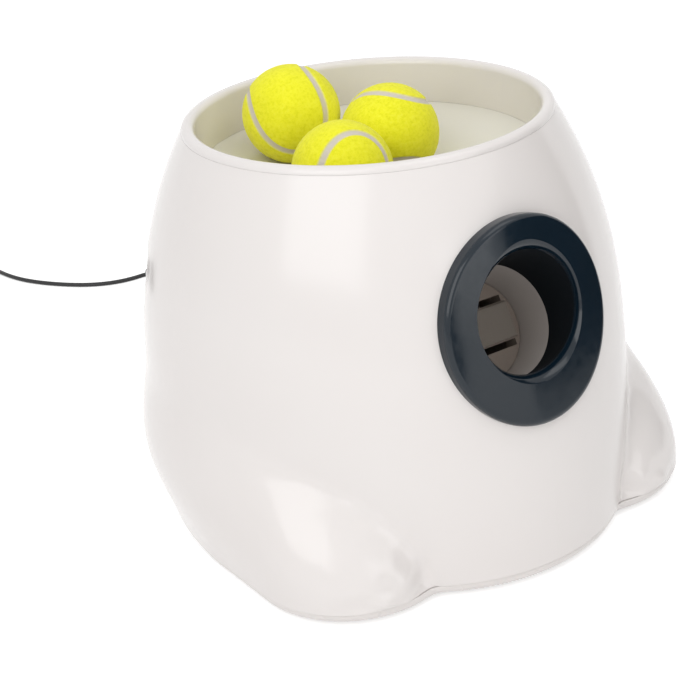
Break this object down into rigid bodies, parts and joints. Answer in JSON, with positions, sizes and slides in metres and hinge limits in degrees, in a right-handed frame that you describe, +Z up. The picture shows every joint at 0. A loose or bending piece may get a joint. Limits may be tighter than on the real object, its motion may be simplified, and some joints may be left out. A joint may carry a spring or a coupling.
{
  "type": "automatic dog ball launcher",
  "caption": "Round white ball launcher for dogs: open hopper on top, tilted round exit in front, spring striker with gear drive inside, mains lead behind.",
  "frame": {"origin": "on the floor under the middle of the body", "axes": "+Z up; balls leave towards -Y; +X to the right seen from the front"},
  "size_m": [0.3308, 0.684, 0.2311],
  "materials": {
    "shell_white": "gloss",
    "pan_white": "satin",
    "bowl_white": "satin",
    "barrel_white": "satin",
    "bezel_navy": "gloss",
    "panel_navy": "satin",
    "striker_plastic": "satin",
    "foam_pad": "matte",
    "acetal": "satin",
    "brass": "satin",
    "steel": "satin",
    "spring_steel": "satin",
    "screw_steel": "satin",
    "felt_yellow": "matte",
    "rubber_dark": "matte",
    "black_plastic": "satin",
    "cord_black": "satin",
    "cell_jacket": "satin",
    "nickel": "satin",
    "circuit_green": "satin",
    "lens_clear": "gloss",
    "button_grey": "satin"
  },
  "bodies": {
    "housing": {"adapter_lead": "cord_black", "adapter_pins": "nickel", "ball_sensors": "black_plastic", "barrel_screws": "screw_steel", "base_pan": "pan_white", "base_screws": "screw_steel", "battery_box": "black_plastic", "battery_cells": "cell_jacket", "battery_contacts": "nickel", "battery_door": "pan_white", "battery_door_screw": "screw_steel", "board_parts": "black_plastic", "board_screws": "screw_steel", "body_shell": "shell_white", "bowl_wall": "shell_white", "control_board": "circuit_green", "control_panel": "panel_navy", "cord_coil": "cord_black", "cycle_switch": "black_plastic", "dc_jack": "black_plastic", "dc_plug": "cord_black", "drive_motor": "steel", "exit_bezel": "bezel_navy", "feed_tube": "barrel_white", "foot_pads": "rubber_dark", "frame_plate_left": "steel", "frame_plate_right": "steel", "frame_screws": "screw_steel", "funnel_screws": "screw_steel", "hopper_funnel": "bowl_white", "indicator_lenses": "lens_clear", "jack_bracket": "pan_white", "launch_barrel": "barrel_white", "motor_gearhead": "steel", "motor_screws": "screw_steel", "power_cord": "cord_black", "shaft_bushes": "brass", "spring_seat": "barrel_white", "striker_housing": "barrel_white", "striker_spring": "spring_steel", "wall_adapter": "black_plastic"},
    "striker": {"striker_plunger": "striker_plastic", "striker_pad": "foam_pad"},
    "sector_drive": {"sector_gear": "acetal", "output_gear": "acetal", "sector_shaft": "steel"},
    "compound_drive": {"compound_gear": "acetal", "compound_shaft": "steel"},
    "motor_rotor": {"motor_pinion": "brass", "motor_shaft": "steel"},
    "power_key": {"power_button": "button_grey"},
    "range_key": {"range_button": "button_grey"},
    "ball_a": {"ball_1": "felt_yellow"},
    "ball_b": {"ball_2": "felt_yellow"},
    "ball_c": {"ball_3": "felt_yellow"}
  },
  "joints": [
    {"name": "striker_slide", "type": "slide", "parent": "housing", "child": "striker", "axis": [0, 0.866, -0.5], "range_m": [0, 0.06283], "stiffness_N_per_m": 160, "springref_m": -0.03, "deforming": ["striker_spring"]},
    {"name": "sector_turn", "type": "hinge", "parent": "housing", "child": "sector_drive", "pos_m": [0, -0.02908, 0.04486], "axis": [1, 0, 0], "range_deg": [-257.64, 0]},
    {"name": "compound_turn", "type": "hinge", "parent": "housing", "child": "compound_drive", "pos_m": [0, -0.04863, 0.03774], "axis": [1, 0, 0], "range_deg": [0, 857.64]},
    {"name": "motor_turn", "type": "hinge", "parent": "housing", "child": "motor_rotor", "pos_m": [0, -0.06667, 0.04431], "axis": [1, 0, 0], "range_deg": [-2571.93, 0]},
    {"name": "power_press", "type": "slide", "parent": "housing", "child": "power_key", "axis": [0.7071, -0.7071, 0], "range_m": [0, 0.0015], "stiffness_N_per_m": 300},
    {"name": "range_press", "type": "slide", "parent": "housing", "child": "range_key", "axis": [0.7071, -0.7071, 0], "range_m": [0, 0.0015], "stiffness_N_per_m": 300},
    {"name": "ball_a_lift", "type": "slide", "parent": "housing", "child": "ball_a", "axis": [0, 0, 1], "range_m": [0, 0.12]},
    {"name": "ball_b_lift", "type": "slide", "parent": "housing", "child": "ball_b", "axis": [0, 0, 1], "range_m": [0, 0.12]},
    {"name": "ball_c_lift", "type": "slide", "parent": "housing", "child": "ball_c", "axis": [0, 0, 1], "range_m": [0, 0.12]}
  ],
  "couplings": [
    {"joint": "sector_turn", "follows": "striker_slide", "rad_per_m": -71.429},
    {"joint": "compound_turn", "follows": "striker_slide", "rad_per_m": 238.1},
    {"joint": "motor_turn", "follows": "striker_slide", "rad_per_m": -714.29}
  ]
}
